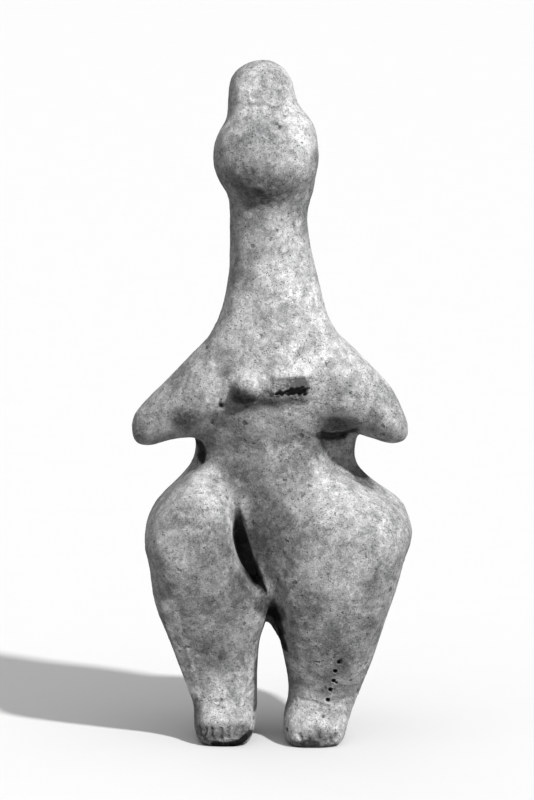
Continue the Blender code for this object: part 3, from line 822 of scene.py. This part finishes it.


# Masks that the material reads: painted shade in hollows, paler crests, and stains mixed with painted shade
# and painted light

wearAndShade = {
    "softRounds": 12,  # rounds of smoothing that the surface is held against
    "hollowShade": (0.08 * mm, 0.55 * mm),  # depths at which the painted shade in a hollow starts and is full
    "crest": (0.05 * mm, 0.5 * mm),
    "stainAndShadeFade": (0.3, 1.15),  # shares of a stain's reach
    "lineFade": (0.6, 1.2),  # shares of a painted shade line's width
    "lineFront": (-3, 3),  # depth in mm over which a painted shade line fades out
    "shadeAndLightLines": [  # strength, width, then places across and up: painted shade, or painted light where the strength is below 0
        # painted shadow under the left arm
        (2.3, 1.6, [(15.6, 100.0), (18.5, 98.9), (22.5, 99.3)]),  # under the left arm
        (1.4, 0.9, [(22.5, 99.6), (26.8, 102.0)]),
        # painted shade on the right side of the waist
        (2.8, 1.4, [(-23.5, 96.5), (-22.3, 94.5), (-22.8, 91.5)]),  # right side of the waist
        (2.1, 1.8, [(0.3, 43.5), (1.6, 39.4), (2.3, 37.0)]),  # inside of the left leg
        (1.9, 1.0, [(2.3, 37.0), (3.1, 34.5), (4.2, 31.2)]),
        # painted shade between the legs
        (1.5, 3.2, [(-2.8, 47.0), (-0.5, 44.0), (1.5, 43.0)]),  # between the legs
        (0.5, 2.0, [(-10.3, 57.5), (-8.0, 54.0), (-4.8, 50.5), (-1.8, 49.5)]),  # thigh beside the groove
        # painted light on the pale outer edge of the right leg
        (-0.9, 2.8, [(-33.0, 47.0), (-31.0, 38.0), (-27.5, 27.0), (-25.0, 17.0)]),
        # painted shadow under the raised edge of the right sole
        (2.8, 1.2, [(-18.5, 0.9), (-14.0, 0.7), (-10.3, 1.6), (-7.3, 4.0)]),  # edge of the right sole
        (1.2, 1.3, [(10.0, 1.8), (14.0, 1.6)]),  # edge of the left sole
        (1.2, 1.0, [(-4.9, 26.5), (-4.9, 16.0), (-5.2, 11.0)]),  # inside of the right leg
    ],
    # painted shade deep in the groove
    "grooveShade": 2.6,
    "grooveWidth": 2.6,
    "stainsAndShade": [  # middle, reach, strength, in mm: darker where it is above 0, paler below; real stains mixed with painted shade and painted light
        # painted shade under the head
        ((-3.5, -20, 181.5), (13, 12, 8), 0.55),  # under the head
        ((-6, -12, 208.5), (11, 8, 6), -0.35),  # foot of the topknot
        ((-9, -11, 209), (5, 8, 6), -0.35),
        ((8.5, -14, 194), (6, 10, 10), -0.25),
        ((4, -14, 152), (15, 10, 18), -0.35),  # neck
        ((-8, -15, 134), (7, 8, 7), 0.15),
        ((9, -18, 127), (10, 9, 6), -0.3),  # chest
        ((-14.8, -16.5, 124.5), (5, 7, 6), 0.65),
        # painted shade under the breasts
        ((-9.6, -21.5, 114.4), (5.5, 6, 3.6), 1.6),  # under the breasts
        ((-6.5, -20, 111.8), (9, 7, 4), 0.8),
        ((2.5, -18, 112.6), (9, 7, 3.6), 0.95),
        ((8.5, -20, 117.5), (4.5, 6, 4), 0.6),
        ((9.2, -19, 113.2), (4, 6, 2.5), 0.5),
        ((10.3, -20, 117.0), (2.6, 6, 3.6), 0.6),
        ((-12.5, -20.5, 117.5), (2.5, 5, 3.5), 0.5),  # side of the right breast
        # painted shade at the root of the right arm
        ((-28, -14.5, 105.3), (6, 7, 5), 1.1),  # root of the right arm
        ((-13.5, -16, 106.3), (11, 8, 5), 0.65),
        ((14, -15, 112), (6, 8, 5), -0.3),
        ((-38, -13, 105.5), (8, 9, 7), 0.35),
        # painted shade above the left armpit
        ((21, -13, 103), (9, 10, 5), 0.7),  # above the left armpit
        ((14.5, -13, 95.5), (4, 8, 6), 0.75),
        ((-9, -14.5, 95.5), (9, 9, 9), 0.5),  # waist
        ((5, -14.5, 95), (12, 9, 10), 0.25),
        ((-6.5, -15, 84.5), (7, 8, 8), 0.85),  # belly
        ((-15.5, -17, 86.5), (5, 9, 6), 0.45),
        ((-11.5, -17, 86), (5, 9, 6), 0.5),
        ((20, -14, 86), (6, 8, 5), -0.25),
        ((1.5, -18.5, 63), (5, 8, 6), 0.3),
        ((8, -16, 86), (10, 9, 9), 0.45),
        ((-1.5, -17, 72), (9, 9, 14), 1.1),
        ((9.5, -21, 70), (7, 10, 11), 0.5),
        ((29, -22, 64), (9, 10, 6), -0.2),
        ((18, -25, 72), (7, 9, 8), 0.4),
        ((0, -17, 56), (4, 8, 7), 0.6),
        ((-27, -27, 75), (9, 10, 9), 0.35),  # right thigh
        ((-17.5, -28, 64), (9, 9, 11), 0.6),
        ((-9.5, -25, 53), (7, 9, 9), 0.9),
        ((-17, -25, 44), (12, 11, 11), 0.5),
        ((-18, -20.5, 32), (6, 9, 7), 0.6),  # right shin
        ((-13, -18, 21), (9, 8, 8), -0.25),
        ((-17, -18, 14.5), (8, 8, 5), -0.2),
        ((13, -26, 49.5), (6, 9, 7), 0.6),  # left thigh
        ((32, -22, 46), (9, 12, 14), 0.4),
        ((18.5, -21, 28), (9, 10, 12), 0.6),  # left shin
        ((8, -17, 26), (4, 8, 9), -0.35),
        ((25, -17, 17), (4, 9, 6), 0.4),
        ((20, -17.8, 17.5), (6, 8, 4.5), 0.7),
        # painted shadow of the left arm on the hip
        ((30, 1, 84), (7, 9, 6), 1.3),  # hip under the left arm
        ((-16, -20.5, 4.8), (12, 7, 4.2), 0.9),  # toes
        ((15, -22, 4), (7, 7, 3.8), 0.8),
        ((5.5, -17, 11), (4, 8, 6), -0.35),
        ((20.5, -18, 11), (7, 8, 5), 0.3),
    ],
}


def paintMasks(obj):
    points, pairs = pointsOf(obj), edgesOf(obj)
    soft = averaged(points, pairs, wearAndShade["softRounds"])
    lift = ((points - soft) * normalsOf(obj)).sum(1)
    lift = averaged(lift, pairs, 2)
    # hollows get painted shade, and crests get paler wear
    putAttribute(obj, "hollowShade", smoothStep(-lift, *wearAndShade["hollowShade"]))
    putAttribute(obj, "crest", smoothStep(lift, *wearAndShade["crest"]))
    inMm = points / mm
    stainAndShade = np.zeros(len(points))
    for middle, reach, strength in wearAndShade["stainsAndShade"]:
        far = np.linalg.norm((inMm - np.array(middle)) / np.array(reach), axis=1)
        stainAndShade += strength * (1 - smoothStep(far, *wearAndShade["stainAndShadeFade"]))
    front = 1 - smoothStep(inMm[:, 1], *wearAndShade["lineFront"])
    begins, ends = wearAndShade["lineFade"]
    for strength, width, path in wearAndShade["shadeAndLightLines"]:
        far = distanceToPath(inMm[:, (0, 2)], path)
        stainAndShade += strength * (1 - smoothStep(far, begins * width, ends * width)) * front
    # painted shade in the groove, narrower towards its top and only on the front
    far = distanceToPath(inMm[:, (0, 2)] - (groove["shift"], 0), groove["path"])
    width = wearAndShade["grooveWidth"] * (1 - 0.6 * smoothStep(inMm[:, 2], 62, 78))
    inGroove = 1 - smoothStep(far / width, 0.7, 1.1)
    inGroove *= smoothStep(inMm[:, 1], -19.5, -16.0) * (inMm[:, 1] < 2) * (1 - smoothStep(inMm[:, 2], 68, 82))
    putAttribute(obj, "stainAndShade", stainAndShade + wearAndShade["grooveShade"] * inGroove)


def standFlat(obj):  # nothing reaches below the floor
    points = pointsOf(obj)
    points[:, 2] = np.maximum(points[:, 2], 0.0)
    putPoints(obj, points)


paintMasks(clay)
standFlat(clay)
clay.data.shade_smooth()
print("masks painted")

clay.name = clay.data.name = "figurineClay"
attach(clay, "root")
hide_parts("figurine")


# Floor, light and camera

studio = {
    "floorSize": 8.0,
    "floorTone": (0.68, 0.68, 0.68, 1),
    "fibreTone": (0.55, 0.55, 0.55, 1),
    "floorBounce": (0.15, 0.15, 0.15, 1),  # what the floor throws back onto the clay
    "keyDirection": (43, 42),  # to the camera's right, and up, in degrees
    "keyStrength": 3.9,
    "keySoftness": 3.5,
    "skyDirection": (0, 82),
    "skyStrength": 1.4,
    "skySoftness": 92,
    "backDirection": (200, 35),
    "backStrength": 0.2,
    "backSoftness": 40,
    "fillStrength": 0.16,
}


def makeFloor():
    bm = bmesh.new()
    bmesh.ops.create_grid(bm, x_segments=2, y_segments=2, size=studio["floorSize"] / 2)
    mesh = bpy.data.meshes.new("floor")
    bm.to_mesh(mesh)
    bm.free()
    floor = bpy.data.objects.new("floor", mesh)
    bpy.context.scene.collection.objects.link(floor)
    material = bpy.data.materials.new("paperFloor")
    material.use_nodes = True
    tree = material.node_tree
    shader = tree.nodes["Principled BSDF"]
    place = tree.nodes.new("ShaderNodeTexCoord").outputs["Object"]
    inputs = {"Vector": place, "Scale": 60.0, "Detail": 3.0}
    fibre = addNode(tree, "ShaderNodeTexNoise", inputs).outputs["Fac"]
    share = smoothBetween(tree, fibre, 0.3, 0.7, 0.0, 0.03)
    tone = mixColour(tree, share, studio["floorTone"], studio["fibreTone"])
    seen = tree.nodes.new("ShaderNodeLightPath").outputs["Is Camera Ray"]
    tone = mixColour(tree, seen, studio["floorBounce"], tone)
    plug(tree, tone, shader.inputs["Base Color"])
    shader.inputs["Roughness"].default_value = 0.95
    shader.inputs["Specular IOR Level"].default_value = 0.1
    mesh.materials.append(material)
    return floor


def towards(azimuth, elevation):
    a, e = math.radians(azimuth), math.radians(elevation)
    return Vector((math.sin(a) * math.cos(e), -math.cos(a) * math.cos(e), math.sin(e)))


def addSun(name, direction, strength, softness):
    data = bpy.data.lights.new(name, "SUN")
    data.energy = strength
    data.angle = math.radians(softness)
    sun = bpy.data.objects.new(name, data)
    sun.rotation_euler = towards(*direction).to_track_quat("Z", "Y").to_euler()
    bpy.context.scene.collection.objects.link(sun)


def lightStudio():
    for name in ("key", "sky", "back"):
        values = [studio[name + part] for part in ("Direction", "Strength", "Softness")]
        addSun(name + "Light", *values)
    world = bpy.data.worlds.new("studio")
    world.use_nodes = True
    background = world.node_tree.nodes["Background"]
    background.inputs["Color"].default_value = (1, 1, 1, 1)
    background.inputs["Strength"].default_value = studio["fillStrength"]
    bpy.context.scene.world = world
    bpy.context.scene.view_settings.view_transform = "Standard"


camera = {
    "elevation": 10,
    "distance": 2.009,
    "target": (-1.67 * mm, -4.17 * mm, 110.3 * mm),
    "viewHeight": 256.4 * mm,  # what the picture's height covers at the target
    "sensor": 36,
}


def placeCamera():
    data = bpy.data.cameras.new("camera")
    data.sensor_width = camera["sensor"]
    data.lens = camera["sensor"] * camera["distance"] / camera["viewHeight"]
    data.clip_start, data.clip_end = 0.1, 20
    obj = bpy.data.objects.new("camera", data)
    direction = towards(0, camera["elevation"])
    obj.location = Vector(camera["target"]) + direction * camera["distance"]
    obj.rotation_euler = direction.to_track_quat("Z", "Y").to_euler()
    bpy.context.scene.collection.objects.link(obj)
    bpy.context.scene.camera = obj


makeFloor()
lightStudio()
placeCamera()
print("studio set")

triangles = sum(len(face.vertices) - 2 for face in clay.data.polygons)
print("figurine:", triangles, "triangles")
